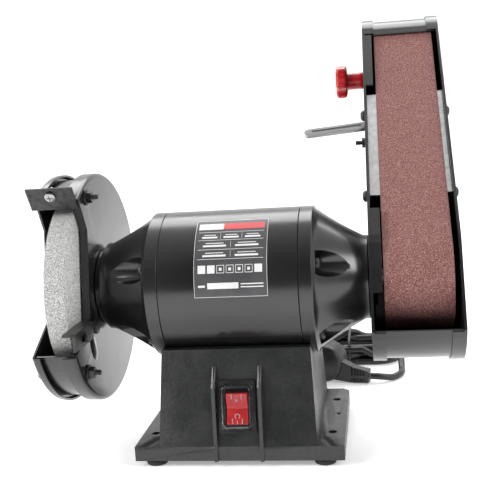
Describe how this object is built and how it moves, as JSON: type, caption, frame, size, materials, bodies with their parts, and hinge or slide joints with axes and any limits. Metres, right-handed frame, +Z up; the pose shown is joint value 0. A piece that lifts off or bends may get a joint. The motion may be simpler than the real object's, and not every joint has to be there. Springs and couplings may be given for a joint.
{
  "type": "bench grinder with belt sanding arm",
  "caption": "Combined bench grinder: a guarded grinding wheel on one end of the motor and a leaned-back belt sanding arm on the other, on a pedestal base with a rocker switch and mains cord.",
  "frame": {"origin": "on the bench under the middle of the box around everything but the cord", "axes": "+X along the motor shaft from the wheel to the belt arm, -Y towards the operator, +Z up"},
  "size_m": [0.3164, 0.327, 0.3284],
  "materials": {
    "black_paint": "semi-gloss black enamel",
    "textured_black": "fine textured black powder coat",
    "stone": "coarse open-pored grey abrasive",
    "steel": "bright zinc-plated and ground steel",
    "dark_steel": "blackened steel, satin",
    "lamination": "stacked electrical steel, dull",
    "copper": "enamelled copper wire, satin",
    "rubber": "matt black rubber",
    "cord_rubber": "matt black cord sheath",
    "grit": "reddish brown abrasive grain on cloth",
    "red_plastic": "glossy red",
    "black_plastic": "fine grained black",
    "clear_plastic": "clear flexible cover",
    "label": "printed dark grey film with a white border"
  },
  "bodies": {
    "machine": {"base_pedestal": "textured_black", "rubber_foot_1": "rubber", "rubber_foot_2": "rubber", "rubber_foot_3": "rubber", "rubber_foot_4": "rubber", "switch_body": "black_plastic", "switch_splash_cover": "clear_plastic", "run_capacitor": "black_plastic", "cord_gland": "black_plastic", "motor_shell": "black_paint", "stator_core": "lamination", "stator_winding": "copper", "bearing_left": "steel", "bearing_right": "steel", "end_bell_left": "black_paint", "end_bell_right": "black_paint", "through_bolt_1": "dark_steel", "through_bolt_2": "dark_steel", "through_bolt_3": "dark_steel", "through_bolt_4": "dark_steel", "rating_label": "label", "guard_inner_plate": "black_paint", "guard_band": "black_paint", "guard_outer_cover": "black_paint", "guard_bolt_1": "dark_steel", "guard_bolt_2": "dark_steel", "guard_bolt_3": "dark_steel", "spark_deflector_screw": "steel", "tool_rest_strap": "black_paint", "tool_rest_screw": "dark_steel", "cord_lead": "cord_rubber", "cord_hank": "cord_rubber", "cord_tail": "cord_rubber", "mains_plug": "black_plastic"},
    "rotor": {"rotor_shaft": "steel", "rotor_core": "lamination", "wheel_flange_inner": "steel", "grinding_wheel": "stone", "wheel_flange_outer": "steel", "wheel_nut": "steel", "drive_drum": "rubber"},
    "arm": {"arm_left_housing": "black_paint", "arm_right_cover": "black_paint", "arm_wrap_cover": "black_paint", "platen": "steel", "platen_bolt_left_1": "dark_steel", "platen_bolt_left_2": "dark_steel", "platen_bolt_right_1": "dark_steel", "platen_bolt_right_2": "dark_steel", "sanding_belt": "grit", "tension_spring": "steel", "housing_stud": "dark_steel"},
    "carriage": {"idler_carriage": "dark_steel"},
    "yoke": {"idler_yoke": "dark_steel"},
    "idler": {"idler_drum": "dark_steel"},
    "tensioner": {"tension_lever": "steel"},
    "tracking": {"tracking_knob": "red_plastic"},
    "rocker": {"switch_rocker": "red_plastic"},
    "rest": {"tool_rest": "dark_steel"},
    "deflector": {"spark_deflector": "dark_steel"}
  },
  "joints": [
    {"name": "rotor_spin", "type": "hinge", "parent": "machine", "child": "rotor", "pos_m": [-0.0118, -0.05071, 0.1256], "axis": [1, 0, 0], "continuous": true},
    {"name": "arm_tilt", "type": "hinge", "parent": "machine", "child": "arm", "pos_m": [0.0882, -0.05071, 0.1256], "axis": [1, 0, 0], "range_deg": [-43, 47]},
    {"name": "carriage_slide", "type": "slide", "parent": "arm", "child": "carriage", "axis": [0, 0.7314, 0.682], "range_m": [-0.01, 0], "stiffness_N_per_m": 1500, "springref_m": 0.012, "deforming": ["tension_spring"]},
    {"name": "lever_turn", "type": "hinge", "parent": "arm", "child": "tensioner", "pos_m": [0.0977, 0.04526, 0.23602], "axis": [0, 0.682, -0.7314], "range_deg": [0, 26.7]},
    {"name": "yoke_tilt", "type": "hinge", "parent": "carriage", "child": "yoke", "pos_m": [0.1232, 0.08525, 0.26059], "axis": [0, -0.682, 0.7314], "range_deg": [-0.7, 0.7]},
    {"name": "tracking_turn", "type": "hinge", "parent": "arm", "child": "tracking", "pos_m": [0.0812, 0.10097, 0.27525], "axis": [1, 0, 0], "range_deg": [-70, 70]},
    {"name": "idler_spin", "type": "hinge", "parent": "yoke", "child": "idler", "pos_m": [0.1232, 0.11429, 0.29792], "axis": [1, 0, 0], "continuous": true},
    {"name": "rocker_tilt", "type": "hinge", "parent": "machine", "child": "rocker", "pos_m": [-0.0108, -0.10254, 0.04239], "axis": [1, 0, 0], "range_deg": [-18, 0]},
    {"name": "rest_slide", "type": "slide", "parent": "machine", "child": "rest", "axis": [0, 1, 0], "range_m": [-0.0045, 0.0045]},
    {"name": "deflector_slide", "type": "slide", "parent": "machine", "child": "deflector", "axis": [0, -0.5299, 0.848], "range_m": [-0.003, 0.002]}
  ],
  "couplings": [
    {"joint": "idler_spin", "follows": "rotor_spin", "ratio": 1.52},
    {"joint": "lever_turn", "follows": "carriage_slide", "rad_per_m": -46.5},
    {"joint": "tracking_turn", "follows": "yoke_tilt", "ratio": 100}
  ]
}
